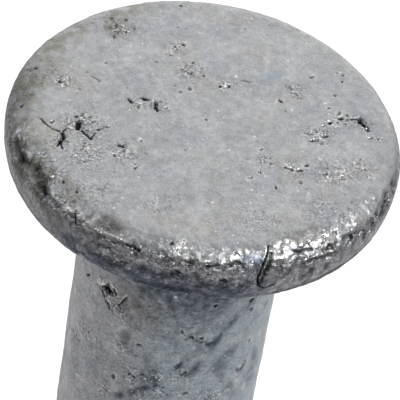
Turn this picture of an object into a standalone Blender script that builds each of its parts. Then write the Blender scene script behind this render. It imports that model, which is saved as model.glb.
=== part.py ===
"""Rail spike: a forged round-head steel spike inside its hot-dip zinc coating.

The origin is on the shank's axis, in the plane of the head's underside, where the head seats on
what it holds down. +Z runs out through the head, and the shank runs down -Z to a four-sided point.
"""

import math

import bmesh
import bpy

MM = 0.001

# Driving dimensions, measured over the zinc
SHANK_RADIUS = 5.0 * MM
LENGTH = 150.0 * MM  # from the underside of the head to the tip
POINT_LENGTH = 16.0 * MM  # the four flats run out into the round shank over this length
TIP_HALF_WIDTH = 0.5 * MM
HEAD_RADIUS = 9.4 * MM
HEAD_THICKNESS = 2.8 * MM
SHOULDER_WIDTH = 1.4 * MM  # the rounding from the struck face into the rim
SHOULDER_HEIGHT = 1.2 * MM
UNDERCUT_WIDTH = 0.5 * MM  # the rounding from the rim into the underside
FILLET_RADIUS = 0.6 * MM  # between the underside and the shank

# The coating and the clearance that keeps its solid apart from the steel
ZINC_THICKNESS = 0.15 * MM
CLEARANCE = 0.10 * MM

# Bare spots on the struck face, where the coating is open down to the steel
BARE_SPOTS = ((-5.8 * MM, -2.0 * MM), (7.2 * MM, 1.8 * MM), (-5.3 * MM, 5.4 * MM))
BARE_SPOT_RADIUS = 0.28 * MM
BARE_SPOT_SIDES = 7

TURNS = 48  # flats round the turned shapes
ARC_STEPS = 6  # straight pieces in each rounding of the profile
MERGE = 1e-6


def clear_scene():
    """Remove what the file already holds."""
    for item in list(bpy.data.objects):
        bpy.data.objects.remove(item, do_unlink=True)


def new_collection(name):
    collection = bpy.data.collections.new(name)
    bpy.context.scene.collection.children.link(collection)
    return collection


def metal(name, color, metallic, roughness):
    """A plain Principled metal."""
    material = bpy.data.materials.new(name)
    material.use_nodes = True
    shader = material.node_tree.nodes["Principled BSDF"]
    shader.inputs["Base Color"].default_value = (*color, 1.0)
    shader.inputs["Metallic"].default_value = metallic
    shader.inputs["Roughness"].default_value = roughness
    return material


def arc(centre, width, height, start, stop):
    """Points of an elliptical arc in the (radius, z) plane, from one angle to another."""
    points = []
    for step in range(ARC_STEPS + 1):
        angle = math.radians(start + (stop - start) * step / ARC_STEPS)
        points.append((centre[0] + width * math.cos(angle), centre[1] + height * math.sin(angle)))
    return points


def blank_profile(inset):
    """The spike's turned outline before pointing, drawn in by inset, from the head's centre down."""
    undercut_height = HEAD_THICKNESS - SHOULDER_HEIGHT
    shoulder = (HEAD_RADIUS - SHOULDER_WIDTH, HEAD_THICKNESS - SHOULDER_HEIGHT)
    undercut = (HEAD_RADIUS - UNDERCUT_WIDTH, undercut_height)
    fillet = (SHANK_RADIUS + FILLET_RADIUS, -FILLET_RADIUS)
    outline = [(0.0, HEAD_THICKNESS - inset)]
    outline += arc(shoulder, SHOULDER_WIDTH - inset, SHOULDER_HEIGHT - inset, 90, 0)
    outline += arc(undercut, UNDERCUT_WIDTH - inset, undercut_height - inset, 0, -90)[1:]
    outline += arc(fillet, FILLET_RADIUS + inset, FILLET_RADIUS + inset, 90, 180)
    below_the_tip = -LENGTH - FILLET_RADIUS
    outline += [(SHANK_RADIUS - inset, below_the_tip), (0.0, below_the_tip)]
    return outline


def turned(name, outline, collection):
    """A solid of revolution about Z from an outline that runs down its outer side."""
    mesh = bpy.data.meshes.new(name)
    points = [(radius, 0.0, z) for radius, z in outline]
    edges = [(i, i + 1) for i in range(len(points) - 1)]
    mesh.from_pydata(points, edges, [])
    item = bpy.data.objects.new(name, mesh)
    collection.objects.link(item)
    screw = item.modifiers.new("turn", "SCREW")
    screw.steps = TURNS
    screw.render_steps = TURNS
    screw.use_merge_vertices = True
    screw.merge_threshold = MERGE
    screw.use_smooth_shade = True
    return item


def point_envelope(name, inset, collection):
    """A four-sided pyramid, tip down, that holds the whole spike and cuts its point."""
    slope = (SHANK_RADIUS - TIP_HALF_WIDTH) / POINT_LENGTH
    drawn_in = inset * math.hypot(1.0, slope)
    low = inset - LENGTH
    high = 2.0 * HEAD_THICKNESS

    def corner_radius(z):
        return math.sqrt(2.0) * (TIP_HALF_WIDTH + slope * (z + LENGTH) - drawn_in)

    form = bmesh.new()
    bmesh.ops.create_cone(
        form,
        cap_ends=True,
        segments=4,
        radius1=corner_radius(low),
        radius2=corner_radius(high),
        depth=high - low,
    )
    mesh = bpy.data.meshes.new(name)
    form.to_mesh(mesh)
    form.free()
    item = bpy.data.objects.new(name, mesh)
    item.location.z = (low + high) / 2.0
    item.rotation_euler.z = math.radians(45.0)
    collection.objects.link(item)
    return as_cutter(item)


def bare_spots(collection):
    """Small prisms, one at each bare spot, that pass through the coating and stop above the steel."""
    form = bmesh.new()
    low = HEAD_THICKNESS - ZINC_THICKNESS - CLEARANCE / 2.0
    high = HEAD_THICKNESS + ZINC_THICKNESS
    for x, y in BARE_SPOTS:
        made = bmesh.ops.create_cone(
            form,
            cap_ends=True,
            segments=BARE_SPOT_SIDES,
            radius1=BARE_SPOT_RADIUS,
            radius2=BARE_SPOT_RADIUS,
            depth=high - low,
        )
        bmesh.ops.translate(form, verts=made["verts"], vec=(x, y, (low + high) / 2.0))
    mesh = bpy.data.meshes.new("bare_spots")
    form.to_mesh(mesh)
    form.free()
    item = bpy.data.objects.new("bare_spots", mesh)
    collection.objects.link(item)
    return as_cutter(item)


def as_cutter(item):
    item.hide_render = True
    item.display_type = "WIRE"
    return item


def boolean(item, operation, cutter):
    step = item.modifiers.new(cutter.name, "BOOLEAN")
    step.operation = operation
    step.solver = "EXACT"
    step.object = cutter


def pointed_spike(name, inset, collection, cutters):
    """The whole spike, drawn in by inset: the turned blank with its point cut."""
    item = turned(name, blank_profile(inset), collection)
    boolean(item, "INTERSECT", point_envelope(name + "_point", inset, cutters))
    return item


def steel_spike(parts, cutters):
    """Head, shank and point, forged from one bar."""
    item = pointed_spike("steel_spike", ZINC_THICKNESS + CLEARANCE, parts, cutters)
    item.data.materials.append(metal("bare_steel", (0.16, 0.12, 0.095), 0.8, 0.7))
    return item


def zinc_coating(parts, cutters):
    """The zinc skin: the full outline, hollow where the steel is, and open at the bare spots."""
    item = pointed_spike("zinc_coating", 0.0, parts, cutters)
    boolean(item, "DIFFERENCE", as_cutter(pointed_spike("zinc_cavity", ZINC_THICKNESS, cutters, cutters)))
    boolean(item, "DIFFERENCE", bare_spots(cutters))
    item.data.materials.append(metal("dull_zinc", (0.44, 0.46, 0.49), 0.7, 0.6))
    return item


def main():
    clear_scene()
    parts = new_collection("rail_spike")
    cutters = new_collection("cutters")
    steel_spike(parts, cutters)
    zinc_coating(parts, cutters)


main()
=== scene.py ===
"""Looks of the galvanised rail spike: its zinc skin, the steel in the skin's bare spots, and a studio.

Lengths are in millimetres up to the point where a mesh is written, which is in metres, as the frame is.
"""

import math
from typing import NamedTuple

import bmesh
import bpy
import numpy as np
from mathutils import Matrix, Vector


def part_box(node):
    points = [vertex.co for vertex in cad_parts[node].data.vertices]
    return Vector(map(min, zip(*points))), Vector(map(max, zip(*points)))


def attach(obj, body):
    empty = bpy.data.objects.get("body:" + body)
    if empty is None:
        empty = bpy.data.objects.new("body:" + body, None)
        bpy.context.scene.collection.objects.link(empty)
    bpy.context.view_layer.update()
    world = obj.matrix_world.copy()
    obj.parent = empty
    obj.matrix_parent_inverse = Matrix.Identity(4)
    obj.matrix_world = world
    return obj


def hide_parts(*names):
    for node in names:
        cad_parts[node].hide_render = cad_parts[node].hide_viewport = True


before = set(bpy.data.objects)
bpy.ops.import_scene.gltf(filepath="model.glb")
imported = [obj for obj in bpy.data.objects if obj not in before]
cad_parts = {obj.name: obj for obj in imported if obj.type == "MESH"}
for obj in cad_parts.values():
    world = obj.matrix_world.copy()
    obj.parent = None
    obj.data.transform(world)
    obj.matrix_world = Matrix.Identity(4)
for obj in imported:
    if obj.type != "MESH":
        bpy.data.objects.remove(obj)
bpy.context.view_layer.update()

MM = 0.001

# Sizes of the spike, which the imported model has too
coat_low, coat_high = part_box("zinc_coating")
HEAD_RADIUS = coat_high[0] / MM
HEAD_TOP = coat_high[2] / MM
TIP = coat_low[2] / MM
SHANK_RADIUS = 5.0
POINT_LENGTH = 16.0
TIP_HALF_WIDTH = 0.5
FLATS_TOP = TIP + POINT_LENGTH + 1.0  # the flats have faded into the round shank here
FLATS_SHARPNESS = 14.0  # how sharply the flats meet the round
SHOULDER_WIDTH = 1.4
SHOULDER_HEIGHT = 1.2
UNDERCUT_WIDTH = 0.5
RIM_HEIGHT = HEAD_TOP - SHOULDER_HEIGHT  # where the shoulder ends and the undercut begins
FILLET_RADIUS = 0.6
NECK_END = -3.5  # the shank above here is modelled more coarsely, as the head hides most of it
DETAIL_END = -17.0  # the shank's surface is modelled finely down to here

# The forging is a little out of true: the head leans, sits off the shank's axis, and is pressed in
HEAD_LEAN = 0.65  # degrees, +X side down
HEAD_OFFSET = 0.24  # towards +X
LEAN_START = -4.0  # the shank is straight below here
PRESSED_DEPTH = 0.30
PRESSED_ANGLE = -91.0
PRESSED_SPREAD = 15.0  # degrees

# How far the steel lies inside the zinc's outside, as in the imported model
STEEL_INSET = 0.25

# Spacing of the skin's vertices
TOP_STEP = 0.145
RIM_STEP = 0.10
UNDER_STEP = 0.30
NECK_STEP = 0.20
SHANK_STEP = 0.15
LOWER_STEP = 0.70
POINT_STEP = 0.35
STEEL_COARSENESS = 4.0  # the steel's spacing over the skin's
JITTER = 0.22  # of a step, so that the rings don't show

# Marks on the skin
# Narrower sunk marks are painted dark all across, as painted shade
NARROW_MARK = 0.13  # half-width; above it marks are ragged, and below it sunk ones are dark all across
REFINED_MARK = 0.17  # half-width below which a mark gets smaller triangles round it
REFINED_MARGINS = (0.20, 0.10)  # how far round the mark, for each time that they are split
MARK_REACH = 3.5  # half-widths at which a mark has faded out
LIP_PLACE = 1.9  # half-widths from a pit's middle to its lip
LIP_WIDTH = 0.6  # in half-widths

# The height below which the head's edge is painted dark as shade, for angles round it; on the far side it
# reaches nearly to the crest, as a painted dark line along the outline
SHADED_BELOW = (
    (-180, 1.95), (-170, 1.3), (-160, 1.0), (-145, 0.7), (-130, 0.4), (-125, -0.5), (-68, -0.5), (-62, 0.4),
    (-45, 0.65), (-20, 0.9), (-10, 1.3), (0, 1.95), (30, 2.3), (60, 2.48), (90, 2.55), (120, 2.48),
    (150, 2.3), (180, 1.95),
)

# How strongly the edge is folded, for angles round it
FOLDED = (
    (-180, 0.20), (-150, 0.35), (-128, 0.40), (-112, 0.20), (-98, 0.20), (-84, 0.30), (-72, 0.35),
    (-66, 0.20), (-58, 0.75), (-42, 0.65), (-30, 0.32), (-12, 0.18), (5, 0.12), (180, 0.15),
)

# Colours of the skin
ZINC = (0.405, 0.413, 0.425)
PALE = (0.52, 0.525, 0.535)
BLUE = (0.30, 0.345, 0.40)
BEIGE = (0.42, 0.405, 0.36)
OLIVE = (0.25, 0.245, 0.20)
# Dark olive blots, and painted shade in the left hollow of the edge
OLIVE_DARK = (0.10, 0.10, 0.075)
VIOLET = (0.39, 0.39, 0.42)
TEAL = (0.38, 0.44, 0.475)
# Painted highlight: the white of tiny specks that stand in for glinting crystals
GLINT_SPECK = (0.92, 0.93, 0.94)
# Dirt, and painted shade: this grey also darkens the folds' hollows, the plates' gaps, the groove under the
# crest, tiny holes and the bottom of the head's edge
DIRT_AND_SHADE = (0.072, 0.072, 0.08)
BROWN = (0.13, 0.115, 0.105)
# Blue-black smears, and painted shade under the head
BLUE_BLACK = (0.075, 0.09, 0.12)
# Painted shade: the near black inside cracks, pits, folds and blots, and at the bottom of the head's edge
SHADE_BLACK = (0.018, 0.018, 0.02)
# Painted highlight: the near white of the glints on beads, flakes, lips and ridges
PAINTED_GLINT = (0.95, 0.93, 0.87)

# Colours of the steel
RUST_BLACK = (0.010, 0.010, 0.010)
RUST_BROWN = (0.014, 0.009, 0.007)


# ---- noise


def hashed(cells, seed):
    """A number from 0 to 1 for each whole-numbered cell."""
    x, y, z = cells[..., 0], cells[..., 1], cells[..., 2]
    mixed = (x * 374761393 + y * 668265263 + z * 1440662683 + seed * 1274126177) & 0xFFFFFFFF
    mixed = ((mixed ^ (mixed >> 13)) * 1274126177) & 0xFFFFFFFF
    return ((mixed ^ (mixed >> 16)) & 0xFFFFFFFF) / 4294967296.0


def noise(points, size, seed):
    """Smooth gradient noise of about -1 to 1, whose lumps are about size across."""
    scaled = points / size
    cell = np.floor(scaled).astype(np.int64)
    inside = scaled - cell
    fade = inside * inside * inside * (inside * (inside * 6.0 - 15.0) + 10.0)
    total = np.zeros(len(points))
    for corner in np.ndindex(2, 2, 2):
        step = np.array(corner)
        slope = np.stack([hashed(cell + step, seed + k) for k in range(3)], axis=1) * 2.0 - 1.0
        weight = np.prod(np.where(step == 1, fade, 1.0 - fade), axis=1)
        total += weight * np.sum(slope * (inside - step), axis=1)
    return total * 1.6


def cloudy(points, size, seed, octaves=3):
    """Several sizes of noise added up, each half as large and half as strong as the one before."""
    total = np.zeros(len(points))
    for octave in range(octaves):
        total += noise(points, size / 2**octave, seed + 10 * octave) / 2**octave
    return total


def smooth(low, high, value):
    """0 below low, 1 above high, and a smooth rise between them."""
    t = np.clip((value - low) / (high - low), 0.0, 1.0)
    return t * t * (3.0 - 2.0 * t)


def scattered(cell, seed):
    """Three numbers from 0 to 1 for each cell."""
    return np.stack([hashed(cell, seed + k) for k in range(3)], axis=1)


def plates(points, size, seed):
    """Tilted plates about size across: each point's height on its plate, and how far it is from a gap."""
    scaled = points / size
    home = np.floor(scaled).astype(np.int64)
    nearest = np.full(len(points), np.inf)
    second = np.full(len(points), np.inf)
    height = np.zeros(len(points))
    for step in np.ndindex(3, 3, 3):
        cell = home + np.array(step) - 1
        apart = scaled - cell - scattered(cell, seed)
        away = np.linalg.norm(apart, axis=1)
        closer = away < nearest
        second = np.where(closer, nearest, np.minimum(second, away))
        height = np.where(closer, np.sum(apart * (scattered(cell, seed + 3) * 2.0 - 1.0), axis=1), height)
        nearest = np.where(closer, away, nearest)
    return height * size, (second - nearest) * size


# ---- the smooth spike


class Row(NamedTuple):
    """One ring of vertices: its radius, height, spacing and the outline's direction, 0, 0 on an arc."""

    radius: float
    z: float
    step: float
    along: tuple


def straight(start, end, step):
    """Rows along a straight stretch of the outline, without its end."""
    length = math.dist(start, end)
    count = max(1, round(length / step))
    along = ((end[0] - start[0]) / length, (end[1] - start[1]) / length)
    shares = [i / count for i in range(count)]
    return [
        Row(start[0] + (end[0] - start[0]) * share, start[1] + (end[1] - start[1]) * share, step, along)
        for share in shares
    ]


def arc(centre, width, height, start, stop, step):
    """Rows along an elliptical arc of the outline, without its end; angles are in degrees."""
    count = max(3, round(math.radians(abs(stop - start)) * (width + height) / 2.0 / step))
    rows = []
    for i in range(count):
        angle = math.radians(start + (stop - start) * i / count)
        place = (centre[0] + width * math.cos(angle), centre[1] + height * math.sin(angle))
        rows.append(Row(*place, step, (0.0, 0.0)))
    return rows


def outline(inset, coarse):
    """The spike's outline, drawn in by inset, from beside the head's centre to above the tip."""
    shoulder = HEAD_RADIUS - SHOULDER_WIDTH
    underside = HEAD_RADIUS - UNDERCUT_WIDTH
    neck = SHANK_RADIUS + FILLET_RADIUS
    shank = SHANK_RADIUS - inset
    top = HEAD_TOP - inset
    rim_step = RIM_STEP * coarse
    neck_step = NECK_STEP * coarse
    rows = straight((0.0, top), (shoulder, top), TOP_STEP * coarse)
    rows += arc((shoulder, RIM_HEIGHT), SHOULDER_WIDTH - inset, SHOULDER_HEIGHT - inset, 90, 0, rim_step)
    rows += arc((underside, RIM_HEIGHT), UNDERCUT_WIDTH - inset, RIM_HEIGHT - inset, 0, -90, rim_step)
    rows += straight((underside, inset), (neck, inset), UNDER_STEP * coarse)
    rows += arc((neck, -FILLET_RADIUS), FILLET_RADIUS + inset, FILLET_RADIUS + inset, 90, 180, neck_step)
    rows += straight((shank, -FILLET_RADIUS), (shank, NECK_END), neck_step)
    rows += straight((shank, NECK_END), (shank, DETAIL_END), SHANK_STEP * coarse)
    rows += straight((shank, DETAIL_END), (shank, FLATS_TOP), LOWER_STEP * coarse)
    rows += straight((shank, FLATS_TOP), (shank, TIP + inset), POINT_STEP * coarse)
    return rows[1:]


def pointed(angles, radius, z, inset):
    """Radius of the spike at a height, where the point's four flats cut the round shank."""
    if z > FLATS_TOP:
        return np.full(len(angles), radius)
    half_width = TIP_HALF_WIDTH + (SHANK_RADIUS - TIP_HALF_WIDTH) * (z - TIP) / POINT_LENGTH - inset
    flat = half_width / np.maximum(np.abs(np.cos(angles)), np.abs(np.sin(angles)))
    return (radius**-FLATS_SHARPNESS + flat**-FLATS_SHARPNESS) ** (-1.0 / FLATS_SHARPNESS)


def ring(row, odd, inset):
    """One ring of vertices and their angles, nearly evenly spaced."""
    mean_radius = pointed(np.zeros(1), row.radius, row.z, inset)[0]
    count = max(8, round(2.0 * math.pi * mean_radius / row.step))
    index = np.arange(count)
    height_key = np.full(count, round(row.z * 1000))
    radius_key = np.full(count, round(row.radius * 1000))
    key = np.stack([index, height_key, radius_key], axis=1)
    angles = (index + 0.5 * odd + JITTER * (hashed(key, 1) - 0.5)) / count * 2.0 * math.pi
    slide = JITTER * row.step * (hashed(key, 2) - 0.5)
    radii = pointed(angles, row.radius, row.z, inset) + slide * row.along[0]
    heights = row.z + slide * row.along[1]
    return np.stack([radii * np.cos(angles), radii * np.sin(angles), heights], axis=1), angles


def stitched(first, angles, next_first, next_angles):
    """Triangles between two rings, facing out when the second ring is the lower or the outer one."""
    turn = 2.0 * math.pi
    here = len(angles)
    there = len(next_angles)
    faces = []
    i = 0
    j = 0
    while i < here or j < there:
        ahead = angles[(i + 1) % here] + (turn if i + 1 >= here else 0.0)
        ahead_there = next_angles[(j + 1) % there] + (turn if j + 1 >= there else 0.0)
        a = first + i % here
        b = next_first + j % there
        if j >= there or (i < here and ahead <= ahead_there):
            faces.append((a, b, first + (i + 1) % here))
            i += 1
        else:
            faces.append((a, b, next_first + (j + 1) % there))
            j += 1
    return faces


def smooth_spike(name, inset=0.0, coarse=1.0):
    """The whole spike, drawn in by inset, as a closed mesh of near-even triangles."""
    points = [np.array([[0.0, 0.0, HEAD_TOP - inset]])]
    faces = []
    first = 0
    angles = None
    used = 1
    for number, row in enumerate(outline(inset, coarse)):
        made, made_angles = ring(row, number % 2, inset)
        if angles is None:
            faces += [(0, used + i, used + (i + 1) % len(made)) for i in range(len(made))]
        else:
            faces += stitched(first, angles, used, made_angles)
        points.append(made)
        first = used
        angles = made_angles
        used += len(made)
    points.append(np.array([[0.0, 0.0, TIP + inset]]))
    faces += [(first + i, used, first + (i + 1) % len(angles)) for i in range(len(angles))]
    mesh = bpy.data.meshes.new(name)
    mesh.from_pydata(np.concatenate(points).tolist(), [], faces)
    return mesh


# ---- marks on the skin

# The marks' places were picked in the photo, turned into millimetres and degrees by running the
# camera backwards, and many were then corrected. Later marks are laid over earlier ones.


class Mark(NamedTuple):
    """A place on the skin that is raised or sunk, coloured, polished or crumbled."""

    path: np.ndarray  # points of a line of straight pieces, or one point
    half_width: float
    height: float = 0.0  # negative where it is sunk
    color: tuple = None
    share: float = 0.0  # how strongly it is coloured, 0 to 1
    shine: float = 0.0
    rough: float = 0.0
    # The lip's brightness is a painted highlight
    lip: float = 0.0  # height of the bright lip round it


def rim_radius(z):
    """Radius of the head's edge at a height."""
    if z >= RIM_HEIGHT:
        rise = min(1.0, (z - RIM_HEIGHT) / SHOULDER_HEIGHT)
        return HEAD_RADIUS - SHOULDER_WIDTH + SHOULDER_WIDTH * math.sqrt(1.0 - rise * rise)
    drop = min(1.0, (RIM_HEIGHT - z) / RIM_HEIGHT)
    return HEAD_RADIUS - UNDERCUT_WIDTH + UNDERCUT_WIDTH * math.sqrt(1.0 - drop * drop)


def around(angle, radius, z):
    """A point at an angle in degrees, a radius and a height."""
    return radius * math.cos(math.radians(angle)), radius * math.sin(math.radians(angle)), z


def on_top(*places):
    """Points of the struck face, from x and y."""
    return np.array([(x, y, HEAD_TOP) for x, y in places])


def on_rim(*places):
    """Points of the head's edge, from an angle and a height."""
    return np.array([around(angle, rim_radius(z), z) for angle, z in places])


def on_shank(*places):
    """Points of the round shank, from an angle and a height."""
    return np.array([around(angle, SHANK_RADIUS, z) for angle, z in places])


def crooked(path, length):
    """A short crooked line through a single point, different at each place."""
    key = np.round(path[0] * 1000.0).astype(np.int64)
    steps = np.array([[hashed(key + k, 7 + axis) - 0.5 for axis in range(3)] for k in range(3)])
    return path[0] + steps * length


def chance(path, seed):
    """A number from 0 to 1 that depends only on a place."""
    return float(hashed(np.round(path[0] * 1000.0).astype(np.int64), seed))


def pit(path, half_width, depth=None, share=None):
    """A small open pit of irregular shape, painted dark inside as shade, with a broken lip that gets a
    painted highlight.
    """
    depth = (depth or 1.3 * half_width) * (0.7 + 0.6 * chance(path, 11))
    share = share or 0.45 + 0.55 * chance(path, 12)
    length = (0.5 + 3.5 * chance(path, 14)) * half_width
    size = half_width * (0.65 + 0.55 * chance(path, 13))
    return Mark(crooked(path, length), size, -depth, SHADE_BLACK, share, lip=0.15 * half_width)


def bead(path, half_width, shine=1.0):
    """A raised bead or flake of zinc, with a painted glint and less roughness."""
    return Mark(path, half_width, 0.4 * half_width, PAINTED_GLINT, 0.8 * shine, shine)


def crack(path, half_width, depth, share=1.0):
    """An open line, painted dark inside as shade, as strongly as share says."""
    return Mark(path, half_width, -depth, SHADE_BLACK, share)


def color_patch(path, half_width, color, share):
    """A patch that differs only in colour."""
    return Mark(path, half_width, 0.0, color, share)


def crumbled(path, half_width, rough):
    """A patch where the zinc froze rough, with small lumps and holes."""
    return Mark(path, half_width, rough=rough)


def face_cracks():
    """The two open cracks on the left of the struck face, the torn pit on its right, and short ones."""
    cracks = (  # half-width, depth, how dark, and the places along it
        (0.045, 0.13, 1.0, (-7.6, -2.0), (-7.3, -2.3), (-6.9, -2.6), (-6.5, -2.7), (-6.35, -2.4)),
        (0.08, 0.16, 1.0, (-6.45, -2.7), (-6.35, -3.0), (-6.45, -3.4)),
        (0.05, 0.07, 1.0, (-6.45, -3.4), (-6.55, -3.7)),
        (0.04, 0.06, 1.0, (-6.45, -3.4), (-6.3, -3.85)),
        (0.13, 0.42, 1.0, (-5.85, -1.75), (-5.8, -2.15)),
        (0.05, 0.16, 1.0, (-5.75, -2.25), (-5.1, -2.85)),
        (0.04, 0.06, 1.0, (-5.1, -2.8), (-5.0, -2.4)),
        (0.07, 0.16, 1.0, (6.75, 1.85), (7.0, 1.95), (7.2, 2.0)),
        (0.13, 0.36, 1.0, (7.15, 1.95), (7.25, 1.75)),
        (0.08, 0.18, 1.0, (7.3, 1.7), (7.5, 1.45), (7.55, 1.3)),
        (0.04, 0.03, 0.7, (4.65, 0.25), (5.0, 0.23)),
        (0.04, 0.03, 0.6, (-4.65, -1.85), (-4.4, -1.8)),
        (0.035, 0.02, 0.6, (-5.7, 1.55), (-5.2, 1.25)),
        (0.07, 0.18, 1.0, (-2.5, 0.48), (-2.45, 0.3), (-2.4, 0.0)),
        (0.07, 0.12, 1.0, (-3.15, 0.65), (-2.95, 0.6)),
        (0.055, 0.08, 1.0, (-3.8, 0.4), (-3.65, 0.2)),
        (0.08, 0.12, 1.0, (-3.75, -2.9), (-3.58, -2.92)),
        (0.075, 0.15, 1.0, (5.0, -0.2), (5.25, -0.12)),
        (0.055, 0.08, 1.0, (5.55, 0.2), (5.7, 0.3)),
        (0.055, 0.08, 1.0, (4.55, -2.42), (4.7, -2.4)),
        (0.05, 0.02, 0.45, (3.6, 3.35), (4.25, 2.65)),
        (0.04, 0.02, 0.6, (1.3, 3.2), (1.75, 3.2)),
    )
    return [crack(on_top(*path), half_width, depth, share) for half_width, depth, share, *path in cracks]


def face_pits():
    """Pits of the struck face, in the clusters they lie in, the deep ones first."""
    deep = ((-7.05, 0.75), (6.3, 1.7), (5.75, 1.3))
    left = (
        (-7.0, -2.1), (-6.3, -2.0), (-6.0, -1.4), (-5.75, -1.2), (-5.4, -1.3), (-5.2, -1.6), (-4.9, -2.1),
        (-3.45, -3.3), (-2.9, -3.95), (-3.9, -3.7), (-2.8, -4.2), (-5.4, -3.3), (-5.6, -4.2), (-5.2, -4.5),
        (-2.8, -2.3), (-3.7, 0.3), (-3.3, 0.0), (-7.2, 0.9), (-6.0, 1.8), (-5.2, 2.7), (-2.35, -0.1),
        (-3.0, 0.6),
    )
    far = (
        (-1.96, 0.25), (-2.3, 0.6), (-1.5, 1.6), (-1.0, 1.95), (0.67, 2.6), (0.4, 2.5), (-1.15, 3.05),
        (-0.67, 3.7), (-0.5, 3.05), (-1.1, 3.9), (-1.55, 3.25), (-2.3, 4.15), (-2.1, 4.7), (-1.8, 5.1),
        (0.0, -0.05), (-5.1, 5.5), (-4.6, 5.2), (-5.1, 4.75), (-5.4, 6.05), (-4.7, 6.1),
    )
    right = (
        (6.15, 2.15), (6.5, 2.05), (6.6, 1.75), (5.8, 1.3), (5.45, 1.0), (5.6, 0.25), (5.5, -0.25),
        (4.0, -2.4), (4.25, -2.45), (4.95, -2.0), (3.2, -2.0), (3.25, -2.3), (2.75, -1.5), (2.85, -3.0),
        (2.4, -3.5), (3.7, -3.8), (7.3, -1.6), (7.7, -1.5), (7.7, 0.75), (8.05, 0.85), (4.6, 4.4),
        (5.8, 3.3), (4.7, -3.2), (6.7, -2.5), (5.6, 2.3), (3.3, 2.2), (6.1, 4.9), (6.1, 4.4),
    )
    deep_pits = [pit(on_top(place), 0.095, share=1.0) for place in deep]
    return deep_pits + [pit(on_top(place), 0.058) for place in left + far + right]


def face_glints():
    """Painted glints of the struck face, most of them on the lip of a pit."""
    places = (
        (-6.15, -2.3), (-5.4, -1.6), (-5.6, -1.55), (-2.2, 4.3), (-2.0, 4.85), (-1.65, 5.2), (1.0, 3.4),
        (7.5, 1.5), (3.8, 3.45), (6.1, 1.15), (5.4, 2.6), (6.6, -2.2), (5.95, -1.7), (5.5, -1.4),
        (2.4, -5.3), (2.6, -5.2), (0.9, -5.6), (-6.9, 1.0), (5.1, -0.05),
    )
    return [bead(on_top(place), 0.06) for place in places]


def lap():
    """The lap in the rim that was left open when the head was upset, with a painted highlight along its
    lip.
    """
    return [
        crack(on_rim((-64.1, 2.73), (-65.0, 2.56), (-66.7, 2.24)), 0.035, 0.12),
        crack(on_rim((-66.7, 2.24), (-68.0, 1.69), (-67.6, 1.15)), 0.05, 0.14),
        crack(on_rim((-67.6, 1.15), (-65.3, 0.84), (-63.1, 1.03)), 0.035, 0.08),
        crack(on_rim((-63.9, 2.55), (-64.6, 2.35), (-66.2, 1.88), (-66.7, 1.40)), 0.09, 0.10, 0.75),
        # Painted highlight along the lap's lip
        Mark(on_rim((-65.0, 2.45), (-67.0, 1.95), (-67.4, 1.6)), 0.035, 0.05, PAINTED_GLINT, 0.5, 0.8),
    ]


def shoulder_beads():
    """Beads along the front right of the shoulder, with painted glints."""
    large = ((-62.7, 2.53), (-47.6, 2.57), (-43.5, 2.61), (-76.1, 2.54))
    small = (
        (-57.7, 2.74), (-56.6, 2.69), (-59.5, 2.63), (-53.7, 2.62), (-51.0, 2.64), (-65.3, 2.68),
        (-71.2, 2.68), (-91.9, 2.48), (-45.5, 2.66), (-40.5, 2.64), (-73.5, 2.66),
    )
    flakes = [
        bead(on_rim((-90.5, 2.77), (-91.6, 2.65)), 0.07),
        bead(on_rim((-120.4, 2.29), (-118.0, 2.30), (-115.1, 2.31)), 0.06, 0.7),
        bead(on_rim((-113.4, 2.34), (-108.7, 2.37)), 0.06, 0.6),
    ]
    beads = [bead(on_rim(place), 0.20) for place in large]
    beads += [bead(on_rim(place), 0.12) for place in small]
    return beads + flakes


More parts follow.
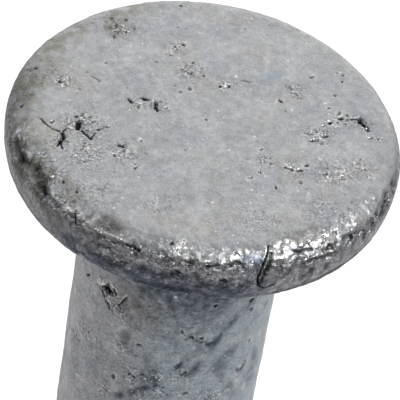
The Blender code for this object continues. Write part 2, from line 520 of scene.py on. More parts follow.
def rim_hollows():
    """Hollows, folds and blots of the rim, painted dark as shade, and ridges with a painted highlight."""
    left_hollow = (
        (-158.0, 2.25), (-152.0, 2.22), (-148.0, 2.34), (-144.5, 2.46), (-141.0, 2.44), (-137.5, 2.25),
    )
    folds = (  # half-width, depth, and the places along it
        (0.06, 0.12, (-124.6, 2.42), (-122.9, 2.10)),
        (0.06, 0.10, (-106.3, 2.29), (-102.4, 2.26)),
        (0.07, 0.09, (-82.8, 2.17), (-80.0, 2.27)),
        (0.07, 0.09, (-76.6, 2.29), (-74.5, 2.38), (-73.4, 2.36)),
        (0.05, 0.06, (-84.7, 0.68), (-83.0, 0.70)),
        (0.05, 0.06, (-56.8, 2.53), (-55.2, 2.45), (-53.0, 2.47), (-51.0, 2.41)),
        (0.09, 0.10, (-53.5, 1.96), (-50.9, 2.0), (-48.1, 1.97), (-43.8, 1.9)),
        (0.08, 0.10, (-31.1, 2.04), (-31.1, 1.59)),
        (0.20, 0.14, (-15.0, 2.25), (-18.0, 2.05), (-21.5, 1.85)),
        (0.16, 0.12, (-24.0, 2.10), (-27.5, 1.75)),
        (0.13, 0.10, (-9.0, 2.20), (-11.0, 2.05)),
        (0.30, 0.15, *left_hollow),
        (0.07, 0.08, (-138.5, 2.30), (-136.5, 2.15)),
    )
    blots = (
        (0.16, -87.7, 2.23), (0.12, -77.1, 1.37), (0.10, -94.0, 2.68), (0.16, -91.0, 1.46),
        (0.12, -45.1, 2.30), (0.18, -53.2, 1.02), (0.18, -51.3, 1.33), (0.20, -46.3, 1.35),
        (0.12, -36.5, 2.17), (0.16, -16.4, 2.12), (0.18, -20.2, 1.89), (0.12, -10.2, 2.24),
        (0.07, -134.6, 2.74), (0.07, -129.0, 2.77), (0.07, -171.6, 2.63), (0.07, 170.0, 2.72),
        (0.07, 105.7, 2.78), (0.07, 102.7, 2.61),
    )
    ridges = (
        ((-53.8, 2.10), (-50.9, 2.15), (-48.1, 2.12), (-43.8, 2.04)),
        ((-46.8, 1.72), (-44.6, 1.70)),
    )
    # Painted shade inside the folds and blots, and a painted highlight on the ridges
    marks = [Mark(on_rim(*path), width, -depth, SHADE_BLACK, 0.75) for width, depth, *path in folds]
    marks += [Mark(on_rim((angle, z)), width, -0.8 * width, SHADE_BLACK, 0.95) for width, angle, z in blots]
    marks += [Mark(on_rim(*path), 0.09, 0.07, PAINTED_GLINT, 0.25, 0.3) for path in ridges]
    return marks


def scar():
    """The scar below the head on the left: cracks, and flakes with painted glints, in a crumbled patch."""
    cracks = (  # half-width, depth, how dark, and the places along it
        (0.11, 0.16, 1.0, (-130.5, -5.55), (-125.0, -5.5)),
        (0.07, 0.12, 1.0, (-128.0, -5.15), (-126.5, -5.7)),
        (0.06, 0.10, 1.0, (-131.5, -5.85), (-129.0, -6.15)),
        (0.05, 0.08, 1.0, (-123.5, -5.2), (-121.5, -5.45)),
        (0.05, 0.07, 1.0, (-118.8, -6.0), (-114.6, -5.25)),
        (0.06, 0.08, 1.0, (-147.0, -6.0), (-144.5, -5.8)),
        (0.05, 0.05, 0.7, (-127.5, -6.3), (-125.5, -6.35), (-124.5, -6.6)),
    )
    flakes = (  # half-width, how bright, and the places along it
        (0.15, 1.0, (-134.5, -5.5), (-130.0, -5.2)),
        (0.12, 1.0, (-124.5, -5.0)),
        (0.08, 1.0, (-122.0, -5.15)),
        (0.07, 1.0, (-130.0, -6.0)),
        (0.06, 0.8, (-120.0, -5.5)),
        (0.09, 0.8, (-126.0, -5.95), (-124.5, -6.1)),
        (0.08, 0.8, (-120.8, -6.35)),
        (0.07, 0.7, (-117.0, -6.6)),
        (0.05, 0.6, (-118.8, -5.8), (-114.6, -5.05)),
        (0.07, 0.7, (-143.3, -5.49)),
    )
    marks = [crack(on_shank(*path), half_width, depth, share) for half_width, depth, share, *path in cracks]
    marks.append(crumbled(on_shank((-131.0, -5.6), (-118.0, -6.2)), 0.55, 1.7))
    return marks + [bead(on_shank(*path), half_width, shine) for half_width, shine, *path in flakes]


def shank_marks():
    """The smears, pits and chips round the front of the shank, and flecks with painted glints."""
    streaks = (
        (0.25, (-50.5, -6.1), (-54.0, -6.6), (-58.2, -7.0), (-63.9, -7.5)),
        (0.16, (-63.9, -7.5), (-68.0, -7.3), (-72.0, -7.1)),
        (0.17, (-60.0, -7.4), (-63.5, -8.0)),
        (0.14, (-75.5, -6.7), (-77.5, -7.0)),
        (0.22, (-68.0, -8.7), (-71.2, -9.40), (-76.3, -9.57)),
        (0.16, (-78.0, -8.7), (-80.5, -9.1)),
        (0.20, (-90.3, -10.4), (-98.2, -10.96), (-111.2, -12.0)),
    )
    pits = (
        (-74.9, -6.9), (-68.7, -6.97), (-67.4, -7.5), (-81.1, -6.47), (-103.9, -7.98), (-105.3, -10.1),
        (-114.6, -10.8), (-75.0, -9.41), (-72.3, -10.9), (-64.4, -4.76), (-39.3, -5.34), (-38.0, -6.0),
        (-34.0, -8.4),
    )
    flecks = ((-87.6, -4.19), (-104.2, -10.9), (-131.6, -9.3), (-105.3, -9.85))
    chip = on_shank((-41.1, -10.1), (-39.3, -10.35), (-36.5, -10.3), (-34.9, -9.9))
    marks = [Mark(on_shank(*path), width, -0.03, BLUE_BLACK, 1.0) for width, *path in streaks]
    marks += [pit(on_shank(place), 0.08, 0.07) for place in pits]
    # Painted glints on small flecks
    marks += [bead(on_shank(place), 0.06) for place in flecks]
    marks += [
        Mark(chip, 0.07, -0.06, BLUE_BLACK, 0.7),
        # Painted glint along the chip's edge
        bead(on_shank((-40.5, -9.85), (-38.0, -10.0), (-35.8, -9.8)), 0.06, 0.5),
    ]
    return marks


def crumbled_patches():
    """Rough patches round the cracks and clusters of pits of the struck face, and on the shank."""
    face = (
        (0.95, -5.6, -2.0), (0.55, -6.5, -3.3), (1.0, -5.2, -4.0), (0.7, -3.6, -3.3), (0.5, -2.5, 0.3),
        (0.4, -3.4, 0.3), (0.5, -7.0, 0.8), (0.5, -2.0, 4.6), (0.6, -1.2, 3.2), (0.6, 5.3, 0.3),
        (0.5, 6.2, 1.5), (0.5, 7.2, 1.6), (0.5, 4.3, -2.3), (0.4, 3.0, -2.2), (0.5, 3.9, 3.2),
        (0.9, 6.3, -2.2), (0.6, 7.5, -1.4), (0.4, 0.5, 2.6), (0.7, -4.9, 5.5),
    )
    softer = ((1.2, 3.2, -6.3), (1.3, -4.5, -6.2), (1.0, -7.7, 0.9), (1.2, 6.0, -4.6), (0.9, -1.5, -6.4))
    shank = (
        (0.6, -128.0, -5.6), (0.5, -118.0, -5.9), (0.45, -112.0, -8.6), (0.6, -105.0, -10.2),
        (0.7, -95.0, -9.9), (0.6, -88.0, -10.8), (0.6, -100.0, -11.6), (0.5, -76.0, -9.6),
        (0.5, -120.0, -12.0), (0.8, -58.0, -11.6), (0.7, -140.0, -9.5), (0.5, -148.0, -10.6),
        (0.4, -143.0, -12.6),
    )
    rim = (
        (0.6, -146.0, 2.72), (0.6, -138.0, 2.66), (0.5, -131.0, 2.6), (0.4, -92.0, 2.6), (0.35, -60.0, 1.4),
        (0.5, -53.0, 1.2), (0.5, -45.0, 1.4), (0.4, -38.0, 1.9), (0.4, -30.0, 1.7),
    )
    patches = [crumbled(on_top((x, y)), 1.15 * size, 1.5) for size, x, y in face]
    patches += [crumbled(on_top((x, y)), size, 0.85) for size, x, y in softer]
    patches += [crumbled(on_shank((angle, z)), 1.15 * size, 1.5) for size, angle, z in shank]
    return patches + [crumbled(on_rim((angle, z)), size, 1.5) for size, angle, z in rim]


def stains_and_shade():
    """Soft patches of colour: olive rust bleed, beige lumps, blue-grey smears and dirt, and painted shade
    under the head and in the left hollow of the edge.
    """
    left_hollow = on_rim((-156.0, 2.30), (-148.0, 2.34), (-144.5, 2.46), (-139.0, 2.32))
    blots = ((-5.4, 6.05), (-4.7, 6.1), (-5.1, 5.5), (-5.1, 4.8), (-4.6, 5.2), (-5.5, 5.3), (-4.9, 5.1))
    return [
        color_patch(on_top((-5.0, 5.4)), 0.75, OLIVE, 0.45),
        color_patch(on_top((2.0, 7.0), (3.6, 6.5)), 0.6, PALE, 0.6),
        color_patch(on_top((-0.5, 5.6), (1.2, 5.2)), 0.5, PALE, 0.4),
        color_patch(on_top((-7.0, -2.9)), 0.9, BEIGE, 0.6),
        color_patch(on_top((-7.9, 0.6), (-7.6, 2.2)), 0.7, OLIVE, 0.4),
        color_patch(on_top((-6.2, 1.2)), 0.8, BEIGE, 0.35),
        color_patch(on_top((2.4, 3.5), (2.9, 4.05)), 0.35, BLUE, 0.6),
        color_patch(on_top((6.3, 0.9)), 0.5, BLUE, 0.4),
        color_patch(on_top((-1.5, -7.3), (1.0, -7.6)), 0.5, BEIGE, 0.4),
        color_patch(on_rim((-115.0, 2.6), (-111.0, 2.6)), 0.42, BROWN, 0.8),
        color_patch(on_rim((-72.0, 2.6), (-67.5, 2.3)), 0.4, BLUE_BLACK, 0.8),
        # Painted shade in the hollow under the crest on the left, with an olive tint
        color_patch(left_hollow, 0.36, OLIVE_DARK, 0.75),
        color_patch(on_top((-5.4, -6.6)), 0.6, OLIVE, 0.5),
        color_patch(on_top((-8.4, -0.6), (-8.5, 1.0)), 0.35, OLIVE_DARK, 0.5),
        color_patch(on_rim((-148.0, 1.73), (-152.0, 1.75)), 0.25, DIRT_AND_SHADE, 0.5),
        # Painted shadow of the head on the top of the shank
        color_patch(on_shank((-100.0, -3.6), (-66.0, -4.2)), 1.7, BLUE_BLACK, 0.9),
        color_patch(on_shank((-112.0, -5.6), (-100.0, -5.9)), 1.0, BROWN, 0.45),
        color_patch(on_shank((-172.0, -4.0), (-170.0, -17.0)), 0.6, OLIVE, 0.55),
    ] + [color_patch(on_top(place), 0.14, OLIVE_DARK, 0.95) for place in blots]


MARKS = crumbled_patches() + stains_and_shade() + face_pits() + face_cracks() + face_glints()
MARKS += rim_hollows() + shoulder_beads() + lap() + scar() + shank_marks()


# ---- the rough skin


def distance(points, path):
    """Each point's distance to a path of straight pieces, or to a single point."""
    if len(path) == 1:
        return np.linalg.norm(points - path[0], axis=1)
    nearest = np.full(len(points), np.inf)
    for start, end in zip(path[:-1], path[1:]):
        along = end - start
        share = np.clip((points - start) @ along / (along @ along), 0.0, 1.0)
        nearest = np.minimum(nearest, np.linalg.norm(points - start - share[:, None] * along, axis=1))
    return nearest


def near(points, path, reach):
    """Numbers of the points that could be within reach of a path."""
    centre = path.mean(axis=0)
    half_length = np.linalg.norm(path - centre, axis=1).max()
    return np.nonzero(np.linalg.norm(points - centre, axis=1) < half_length + reach)[0]


def zones(points):
    """How much each point belongs to the struck face, to the head's edge and to the shank: three shares."""
    radius = np.hypot(points[:, 0], points[:, 1])
    head = smooth(-0.4, 0.1, points[:, 2])
    face = smooth(HEAD_RADIUS - 0.9, HEAD_RADIUS - 2.0, radius) * head * (points[:, 2] > RIM_HEIGHT)
    return face, head - face, 1.0 - head


def between(low, high, edge, value):
    """1 between low and high, and a soft fall to 0 over an edge on either side."""
    return smooth(low - edge, low, value) * smooth(high + edge, high, value)


def mixed(colors, color, share):
    """Colours with a share of another colour mixed in."""
    share = np.clip(share, 0.0, 1.0)[:, None]
    return colors * (1.0 - share) + np.array(color) * share


def read_off(table, angles):
    """The value for each angle, in straight lines between a table's rows."""
    return np.interp(angles, *zip(*table))


class Coat:
    """The roughness, colour and polish of the zinc at each point; the colour holds painted shade and
    painted highlights too.
    """

    def __init__(self, points):
        self.points = points
        self.angle = np.degrees(np.arctan2(points[:, 1], points[:, 0]))
        self.face, self.rim, self.shank = zones(points)
        self.height = np.zeros(len(points))
        self.color = np.tile(ZINC, (len(points), 1))
        self.shine = np.zeros(len(points))
        wall = self.rim * smooth(2.4, 2.1, points[:, 2])
        self.rough = 0.2 * self.face + 0.22 * self.rim + 0.4 * wall + 0.35 * self.shank

    def paint(self, color, share):
        """Mix a share of a colour into the skin's."""
        self.color = mixed(self.color, color, share)

    def tones(self):
        """Soft patches of paler, bluer and browner zinc, the duller edge and shank, and painted shade low
        on the head's edge.
        """
        z = self.points[:, 2]
        self.paint(PALE, 0.5 * smooth(-0.2, 0.7, cloudy(self.points, 1.6, 300, 4)))
        self.paint(BLUE, 0.22 * smooth(0.0, 0.7, cloudy(self.points, 1.7, 340)))
        self.paint(BEIGE, 0.30 * smooth(0.0, 0.7, cloudy(self.points, 1.9, 380)))
        self.paint(VIOLET, 0.4 * self.shank)
        self.paint(TEAL, 0.75 * self.shank * between(-85.0, 60.0, 30.0, self.angle))
        wall = self.rim * smooth(2.4, 2.15, z)
        self.paint(VIOLET, 0.6 * wall)
        self.paint(DIRT_AND_SHADE, 0.55 * wall * smooth(0.0, 0.4, cloudy(self.points, 0.30, 360, 2)))
        # Painted shade: the bottom of the head's edge at the front is darkened blue-black, running into the
        # painted shadow on the shank
        low = self.rim * smooth(1.8, 1.0, z) * between(-125.0, -70.0, 12.0, self.angle)
        self.paint(BLUE_BLACK, low * smooth(-0.9, 0.3, cloudy(self.points, 0.4, 390)))
        # Painted shade: the head's edge is darkened below a height that changes round it, and is blackest
        # at the bottom
        shaded_below = read_off(SHADED_BELOW, self.angle)
        self.paint(DIRT_AND_SHADE, 0.85 * self.rim * smooth(shaded_below + 0.12, shaded_below - 0.12, z))
        self.paint(SHADE_BLACK, 0.75 * self.rim * smooth(shaded_below - 0.05, shaded_below - 0.25, z))
        left = between(-185.0, -135.0, 12.0, self.angle) + between(125.0, 185.0, 20.0, self.angle)
        self.paint(OLIVE, 0.75 * left * self.rim * smooth(-0.1, 0.3, cloudy(self.points, 0.7, 370, 2)))

    def grain(self):
        """Lumps of every size, and the plates and folds of the edge, with painted shade in the plates' gaps
        and the folds' hollows.
        """
        self.height += (0.05 * self.face + 0.02) * noise(self.points, 4.0, 100)
        self.height += 0.015 * noise(self.points, 1.8, 110)
        self.height += (0.010 * self.face + 0.015 * self.shank) * cloudy(self.points, 0.9, 120, 2)
        self.height += (0.006 * self.face + 0.007) * noise(self.points, 0.42, 150)
        edge = np.nonzero(self.rim > 0.01)[0]
        there = self.points[edge]
        rim = self.rim[edge]
        bend = np.stack([noise(there, 0.5, 170 + 20 * k) for k in range(3)], axis=1) * 0.12
        tilt, gap = plates((there + bend) * (0.6, 0.6, 1.0), 0.30, 180)
        folds = 1.0 - 2.0 * np.abs(noise((there + bend) * (0.45, 0.45, 1.0), 0.45, 190)) ** 0.7
        folded = rim * read_off(FOLDED, self.angle[edge])
        shoulder = smooth(1.7, 2.2, there[:, 2])
        self.height[edge] += folded * ((0.14 + 0.36 * shoulder) * tilt + 0.028 * folds)
        # Painted shade: darker in the gaps between plates and in the hollows of the folds
        dark = np.zeros(len(self.points))
        dark[edge] = rim * np.maximum(0.5 * smooth(0.06, 0.0, gap), 0.5 * smooth(0.2, 0.8, -folds))
        dark[edge] *= np.clip(1.6 * folded, 0.25, 1.0)
        self.paint(DIRT_AND_SHADE, dark)

    def crest(self):
        """The burr where the shoulder meets the wall of the edge: a lip with a painted highlight over a
        groove with painted shade.
        """
        z = self.points[:, 2]
        wander = 0.07 * noise(self.points, 1.1, 610)
        broken = smooth(0.0, 0.5, noise(self.points, 0.9, 620))
        whole = 0.5 * between(-126.0, -107.0, 5.0, self.angle)
        front = self.rim * between(-160.0, -25.0, 12.0, self.angle) * np.maximum(broken, whole)
        lip = np.exp(-(((z - 2.38 - wander) / 0.06) ** 2)) * front
        groove = np.exp(-(((z - 2.22 - wander) / 0.06) ** 2)) * front
        self.height += 0.045 * lip - 0.05 * groove
        # Painted highlight on the lip, and painted shade in the groove below it
        self.paint(PAINTED_GLINT, 0.2 * lip)
        self.paint(DIRT_AND_SHADE, 0.55 * groove)
        self.shine = np.maximum(self.shine, 0.5 * lip * (1.0 - between(-98.0, -66.0, 5.0, self.angle)))

    def smears(self):
        """Dark smears round the front of the edge and down the shank."""
        blotches = smooth(0.05, 0.40, cloudy(self.points * (0.6, 0.6, 1.0), 0.36, 420))
        front = between(-112.0, -70.0, 8.0, self.angle) * between(1.0, 2.2, 0.35, self.points[:, 2])
        self.paint(DIRT_AND_SHADE, 0.85 * self.rim * front * blotches)
        self.height -= 0.04 * self.rim * front * blotches
        self.paint(PALE, 0.6 * self.rim * front * smooth(0.25, 0.6, cloudy(self.points, 0.28, 470)))
        self.rough = np.maximum(self.rough, 0.9 * self.rim * front)
        long = self.points * (1.0, 1.0, 0.8)
        smeared = 0.6 - 0.6 * (0.65 * between(-185.0, -122.0, 12.0, self.angle))
        self.paint(BLUE_BLACK, smeared * self.shank * smooth(0.05, 0.8, cloudy(long, 1.2, 460, 5)))
        self.paint(PALE, 0.8 * self.shank * smooth(0.05, 0.8, cloudy(long, 0.7, 480, 4)))
        self.paint(PALE, 0.5 * self.face * smooth(0.0, 0.6, cloudy(self.points, 0.55, 440)))
        self.paint(VIOLET, 0.45 * self.face * smooth(0.0, 0.6, cloudy(self.points, 0.5, 450)))

    def marks(self):
        """Every mark, with a crooked outline, over what is there already."""
        warp = np.stack([cloudy(self.points, 0.35, 200 + 40 * k, 2) for k in range(3)], axis=1)
        ragged = np.clip(0.9 + 0.7 * cloudy(self.points, 0.35, 500), 0.2, 1.3)
        for item in MARKS:
            index = near(self.points, item.path, MARK_REACH * item.half_width)
            there = self.points[index]
            bend = warp[index] * min(0.06, 0.5 * item.half_width)
            width = item.half_width * (1.0 + 0.35 * noise(there, 0.13, 520) + 0.3 * noise(there, 0.6, 530))
            away = distance(there + bend, item.path) / width
            shape = np.exp(-(away**2))
            if item.half_width > NARROW_MARK:
                shape = shape * ragged[index]
            self.height[index] += item.height * shape
            self.shine[index] = np.maximum(self.shine[index], item.shine * shape)
            self.rough[index] = np.maximum(self.rough[index], item.rough * shape)
            if item.color is not None:
                # Painted shade: narrow sunk marks are darkened all across
                narrow = item.height < 0.0 and item.half_width < NARROW_MARK
                spread = np.minimum(1.0, 1.8 * shape) if narrow else shape
                self.color[index] = mixed(self.color[index], item.color, item.share * spread)
            if item.lip > 0.0:
                ring_shape = np.exp(-(((away - LIP_PLACE) / LIP_WIDTH) ** 2))
                lip = ring_shape * smooth(0.5, 1.2, ragged[index])
                self.height[index] += item.lip * lip
                # Painted highlight on the lip round a pit
                self.color[index] = mixed(self.color[index], PAINTED_GLINT, 0.35 * lip)


def pressed(points):
    """How far the edge is drawn in at the front, where the die pressed it flatter."""
    angle = np.degrees(np.arctan2(points[:, 1], points[:, 0]))
    low = smooth(2.3, 1.4, points[:, 2]) * smooth(-0.1, 0.3, points[:, 2])
    outer = smooth(HEAD_RADIUS - 1.6, HEAD_RADIUS - 0.6, np.hypot(points[:, 0], points[:, 1]))
    return PRESSED_DEPTH * low * outer * np.exp(-(((angle - PRESSED_ANGLE) / PRESSED_SPREAD) ** 2))


def refine(form, margin):
    """Split the edges near raised and sunk marks once."""
    points = np.array([vertex.co for vertex in form.verts])
    close = np.zeros(len(points), dtype=bool)
    for item in MARKS:
        if not item.height or item.half_width >= REFINED_MARK:
            continue
        index = near(points, item.path, item.half_width + margin)
        close[index] |= distance(points[index], item.path) < item.half_width + margin
    form.verts.index_update()
    edges = [edge for edge in form.edges if close[edge.verts[0].index] and close[edge.verts[1].index]]
    bmesh.ops.subdivide_edges(form, edges=edges, cuts=1)
    bmesh.ops.triangulate(form, faces=[face for face in form.faces if len(face.verts) > 3])


def forged(points):
    """Lean the head and shift it, easing out down the shank's first millimetres."""
    share = smooth(LEAN_START, 0.0, points[:, 2])
    lean = math.radians(HEAD_LEAN) * share
    moved = points.copy()
    moved[:, 0] += HEAD_OFFSET * share + (points[:, 2] - HEAD_TOP) * np.sin(lean)
    moved[:, 2] -= points[:, 0] * np.sin(lean)
    return moved


def read(collection, name, size):
    """One vector for each vertex of a mesh."""
    values = np.empty(size * 3)
    collection.foreach_get(name, values)
    return values.reshape(size, 3)


def displaced(mesh, heights_of):
    """Move a mesh's vertices along its normals, give it the forging's lean, and set it in metres."""
    count = len(mesh.vertices)
    points = read(mesh.vertices, "co", count)
    normals = read(mesh.vertex_normals, "vector", count)
    moved = forged(points + normals * heights_of(points)[:, None])
    mesh.vertices.foreach_set("co", (moved * MM).ravel())
    mesh.shade_smooth()
    mesh.update()


def shown(mesh, material):
    """Put a mesh in the scene as a piece of the object."""
    mesh.materials.append(material)
    item = bpy.data.objects.new(mesh.name, mesh)
    bpy.context.scene.collection.objects.link(item)
    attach(item, "root")
    return item


def zinc_skin():
    """The zinc as it shows: rough, marked, and coloured vertex by vertex."""
    mesh = smooth_spike("zinc_skin")
    form = bmesh.new()
    form.from_mesh(mesh)
    for margin in REFINED_MARGINS:
        refine(form, margin)
    form.normal_update()
    form.to_mesh(mesh)
    form.free()
    coat = Coat(read(mesh.vertices, "co", len(mesh.vertices)))
    coat.tones()
    coat.grain()
    coat.crest()
    coat.smears()
    coat.marks()
    tint = np.concatenate([coat.color, np.ones((len(coat.color), 1))], axis=1)
    mesh.attributes.new("tint", "FLOAT_COLOR", "POINT").data.foreach_set("color", tint.ravel())
    for name, values in (("shine", coat.shine), ("rough", coat.rough)):
        mesh.attributes.new(name, "FLOAT", "POINT").data.foreach_set("value", values)
    displaced(mesh, lambda points: coat.height - pressed(points))
    item = shown(mesh, zinc())
    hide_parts("zinc_coating")


def steel_core():
    """The steel under the zinc, which leans with the head as the zinc does."""
    mesh = smooth_spike("steel_core", STEEL_INSET, STEEL_COARSENESS)
    displaced(mesh, lambda points: -pressed(points))
    item = shown(mesh, bare_steel())
    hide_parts("steel_spike")


# ---- materials


class Nodes:
    """Short names for the nodes of one material."""

    def __init__(self, name):
        self.material = bpy.data.materials.new(name)
        self.material.use_nodes = True
        self.tree = self.material.node_tree
        self.shader = self.tree.nodes["Principled BSDF"]
        self.place = self.add("ShaderNodeTexCoord").outputs["Object"]

    def add(self, kind, **settings):
        node = self.tree.nodes.new(kind)
        for key, value in settings.items():
            setattr(node, key, value)
        return node

    def put(self, socket, value):
        """Link a socket to another, or set its value."""
        if isinstance(value, bpy.types.NodeSocket):
            self.tree.links.new(value, socket)
        else:
            socket.default_value = value

    def noise(self, size, detail=2.0, output="Fac"):
        """Noise from 0 to 1 whose lumps are about size across, in millimetres."""
        node = self.add("ShaderNodeTexNoise")
        self.put(node.inputs["Vector"], self.place)
        node.inputs["Scale"].default_value = 1.0 / (size * MM)
        node.inputs["Detail"].default_value = detail
        return node.outputs[output]

    def spots(self, cell_size, share, radius, bend):
        """1 in ragged spots, one in a share of the cells, and 0 elsewhere; sizes in millimetres."""
        moved = self.add("ShaderNodeVectorMath", operation="MULTIPLY_ADD")
        self.put(moved.inputs[0], self.noise(0.12, output="Color"))
        moved.inputs[1].default_value = (2.0 * bend * MM,) * 3
        self.put(moved.inputs[2], self.place)
        node = self.add("ShaderNodeTexVoronoi")
        self.put(node.inputs["Vector"], moved.outputs[0])
        node.inputs["Scale"].default_value = 1.0 / (cell_size * MM)
        apart = self.add("ShaderNodeSeparateColor")
        self.put(apart.inputs[0], node.outputs["Color"])
        chosen = self.math("LESS_THAN", apart.outputs[0], share)
        size = self.spread(apart.outputs[1], 0.0, 1.0, 0.4 * radius / cell_size, radius / cell_size)
        inside = self.math("LESS_THAN", node.outputs["Distance"], size)
        return self.times(chosen, inside)

    def facets(self, size):
        """Height in metres of small facets, each tilted its own way."""
        node = self.add("ShaderNodeTexVoronoi")
        self.put(node.inputs["Vector"], self.place)
        node.inputs["Scale"].default_value = 1.0 / (size * MM)
        tilt = self.add("ShaderNodeVectorMath", operation="MULTIPLY_ADD")
        self.put(tilt.inputs[0], node.outputs["Color"])
        tilt.inputs[1].default_value = (2.0, 2.0, 2.0)
        tilt.inputs[2].default_value = (-1.0, -1.0, -1.0)
        apart = self.add("ShaderNodeVectorMath", operation="SUBTRACT")
        self.put(apart.inputs[0], self.place)
        self.put(apart.inputs[1], node.outputs["Position"])
        height = self.add("ShaderNodeVectorMath", operation="DOT_PRODUCT")
        self.put(height.inputs[0], apart.outputs[0])
        self.put(height.inputs[1], tilt.outputs[0])
        return height.outputs["Value"]

    def spread(self, value, low, high, start=0.0, stop=1.0):
        """Spread the stretch low to high of a value over start to stop, clamped."""
        node = self.add("ShaderNodeMapRange")
        for socket, number in zip(node.inputs, (value, low, high, start, stop)):
            self.put(socket, number)
        return node.outputs["Result"]

    def math(self, operation, first, second=0.0):
        """One sum, comparison or the like of two numbers."""
        node = self.add("ShaderNodeMath", operation=operation)
        self.put(node.inputs[0], first)
        self.put(node.inputs[1], second)
        return node.outputs[0]

    def times(self, first, second):
        """The product of two numbers."""
        return self.math("MULTIPLY", first, second)

    def mix(self, share, first, second):
        """The first colour with a share of the second."""
        node = self.add("ShaderNodeMix", data_type="RGBA")
        self.put(node.inputs[0], share)
        self.put(node.inputs[6], (*first, 1.0) if isinstance(first, tuple) else first)
        self.put(node.inputs[7], (*second, 1.0) if isinstance(second, tuple) else second)
        return node.outputs[2]

    def scaled(self, color, share):
        """A colour multiplied by a number."""
        node = self.add("ShaderNodeVectorMath", operation="SCALE")
        self.put(node.inputs[0], color)
        self.put(node.inputs["Scale"], share)
        return node.outputs[0]

    def attribute(self, name, output="Fac"):
        return self.add("ShaderNodeAttribute", attribute_name=name).outputs[output]

    def bump(self, height, distance, strength=1.0, before=None):
        """A bump whose height runs from 0 to 1 over a distance in millimetres."""
        node = self.add("ShaderNodeBump")
        node.inputs["Distance"].default_value = distance * MM
        self.put(node.inputs["Strength"], strength)
        self.put(node.inputs["Height"], height)
        if before is not None:
            self.put(node.inputs["Normal"], before)
        return node.outputs["Normal"]


def zinc():
    """Dull hot-dip zinc: facets and grains of slightly different greys, pits painted dark as shade, and
    specks painted white as glints.
    """
    n = Nodes("hot_dip_zinc")
    shine = n.attribute("shine")
    rough = n.attribute("rough")
    crumbly = n.spread(rough, 0.6, 1.1)
    mottle = n.spread(n.noise(0.42, 3.0), 0.3, 0.7, -1.0, 1.0)
    crumb = n.spread(n.noise(0.17, 2.0), 0.3, 0.7, -1.0, 1.0)
    speck = n.spread(n.noise(0.07, 1.0), 0.25, 0.75, -1.0, 1.0)
    uneven = n.math("ADD", n.times(crumb, 0.30), n.times(speck, 0.34))
    uneven = n.times(uneven, rough)
    uneven = n.math("ADD", uneven, n.times(speck, 0.10))
    uneven = n.math("ADD", uneven, n.times(mottle, 0.10))
    color = n.scaled(n.attribute("tint", "Color"), n.math("ADD", uneven, 1.0))
    # Painted shade: small dark holes, most of them in the crumbled places
    hole = n.times(n.spots(0.22, 0.35, 0.08, 0.10), crumbly)
    hole = n.math("MAXIMUM", hole, n.times(n.spots(0.36, 0.10, 0.09, 0.12), 0.55))
    color = n.mix(hole, color, DIRT_AND_SHADE)
    # Painted highlight: small white glints, most of them in the crumbled places
    glint = n.times(n.spots(0.18, 0.25, 0.07, 0.08), crumbly)
    glint = n.times(glint, 0.8)
    glint = n.math("MAXIMUM", glint, n.times(n.spots(0.26, 0.16, 0.055, 0.06), 0.6))
    color = n.mix(glint, color, GLINT_SPECK)
    n.put(n.shader.inputs["Base Color"], color)
    n.shader.inputs["Metallic"].default_value = 0.9
    dullness = n.spread(n.noise(0.3, 2.0), 0.3, 0.7, 0.42, 0.56)
    n.put(n.shader.inputs["Roughness"], n.math("SUBTRACT", dullness, n.times(shine, 0.2)))
    strength = n.spread(rough, 0.0, 1.0, 0.05, 1.0)
    metre = 1.0 / MM  # the facets' height is in metres already
    normal = n.bump(n.facets(0.13), metre, n.spread(rough, 0.0, 1.0, 0.05, 0.40))
    normal = n.bump(crumb, 0.025, strength, normal)
    n.put(n.shader.inputs["Normal"], normal)
    return n.material


def bare_steel():
    """Dark, rusted steel, which shows at the bottom of the bare spots."""
    n = Nodes("bare_steel")
    rust = n.spread(n.noise(0.25, 3.0), 0.35, 0.65)
    n.put(n.shader.inputs["Base Color"], n.mix(rust, RUST_BROWN, RUST_BLACK))
    n.shader.inputs["Metallic"].default_value = 0.5
    n.put(n.shader.inputs["Roughness"], n.spread(rust, 0.0, 1.0, 0.9, 0.6))
    n.put(n.shader.inputs["Normal"], n.bump(n.noise(0.12, 2.0), 0.02))
    return n.material


def plain(name, color, roughness):
    """One dull colour, for the floor."""
    n = Nodes(name)
    n.shader.inputs["Base Color"].default_value = (*color, 1.0)
    n.shader.inputs["Roughness"].default_value = roughness
    return n.material


# ---- the studio


def floor():
    """A pale floor just under the tip."""
    bpy.ops.mesh.primitive_plane_add(size=6.0, location=(0.0, 0.0, coat_low[2] - 0.0005))
    item = bpy.context.object
    item.name = "floor"
    item.data.materials.append(plain("pale_floor", (0.86, 0.86, 0.87), 0.9))


def softbox(name, place, aim, size, power):
    """A rectangular area light at a place, facing aim; all in metres."""
    lamp = bpy.data.lights.new(name, "AREA")
    lamp.shape = "RECTANGLE"
    lamp.size, lamp.size_y = size
    lamp.energy = power
    item = bpy.data.objects.new(name, lamp)
    item.location = place
    item.rotation_euler = (Vector(aim) - Vector(place)).to_track_quat("-Z", "Y").to_euler()
    bpy.context.scene.collection.objects.link(item)


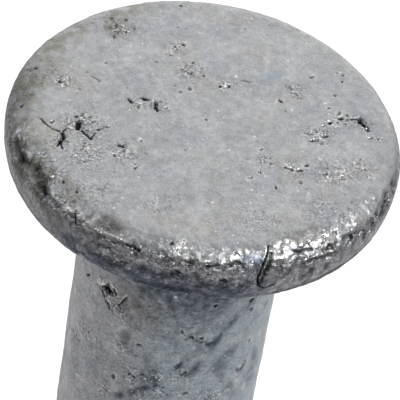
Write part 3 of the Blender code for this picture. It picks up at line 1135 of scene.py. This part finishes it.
def studio():
    """A dim pale world and soft lights, as strong as the photo's brightness asks for."""
    world = bpy.data.worlds.new("studio")
    world.use_nodes = True
    background = world.node_tree.nodes["Background"]
    background.inputs["Color"].default_value = (0.95, 0.97, 1.0, 1.0)
    background.inputs["Strength"].default_value = 0.02
    bpy.context.scene.world = world
    bpy.context.scene.view_settings.view_transform = "Standard"
    softbox("back_softbox", (0.0, 0.30, 0.28), (0.0, 0.0, 0.0), (0.45, 0.35), 0.64)
    softbox("key_softbox", (0.24, -0.12, 0.30), (0.0, 0.0, 0.0), (0.10, 0.10), 1.44)
    softbox("left_softbox", (-0.34, 0.0, 0.26), (0.0, 0.0, 0.0), (0.25, 0.40), 0.77)
    softbox("right_softbox", (0.34, 0.30, 0.16), (0.0, 0.0, 0.0), (0.28, 0.34), 0.28)
    softbox("horizon_softbox", (0.0, 0.45, 0.0), (0.0, 0.0, 0.0), (0.70, 0.16), 0.62)
    softbox("background_light", (0.0, 0.18, 0.0), (0.0, 0.17, -0.15), (0.16, 0.12), 0.12)


def camera():
    """A long lens above the head, looking along +Y, rolled so that the shank leans.

    Its place and roll were fitted to the outline of the head and shank in the photo.
    """
    elevation = math.radians(43.0)
    roll = math.radians(9.86)
    away = 131.3 * MM
    aim_right, aim_up = -0.09 * MM, -3.84 * MM  # from the struck face's centre, in the picture's plane
    back = Vector((0.0, -math.cos(elevation), math.sin(elevation)))
    level = Vector((1.0, 0.0, 0.0))
    rise = back.cross(level)
    right = level * math.cos(roll) + rise * math.sin(roll)
    up = rise * math.cos(roll) - level * math.sin(roll)
    aim = Vector((0.0, 0.0, coat_high[2])) + right * aim_right + up * aim_up
    lens = bpy.data.cameras.new("camera")
    lens.lens = 252.0
    lens.sensor_width = 36.0
    lens.clip_start = 0.01
    item = bpy.data.objects.new("camera", lens)
    turn = Matrix((right, up, back)).transposed()
    item.matrix_world = Matrix.Translation(aim + back * away) @ turn.to_4x4()
    bpy.context.scene.collection.objects.link(item)
    bpy.context.scene.camera = item


zinc_skin()
steel_core()
floor()
studio()
camera()
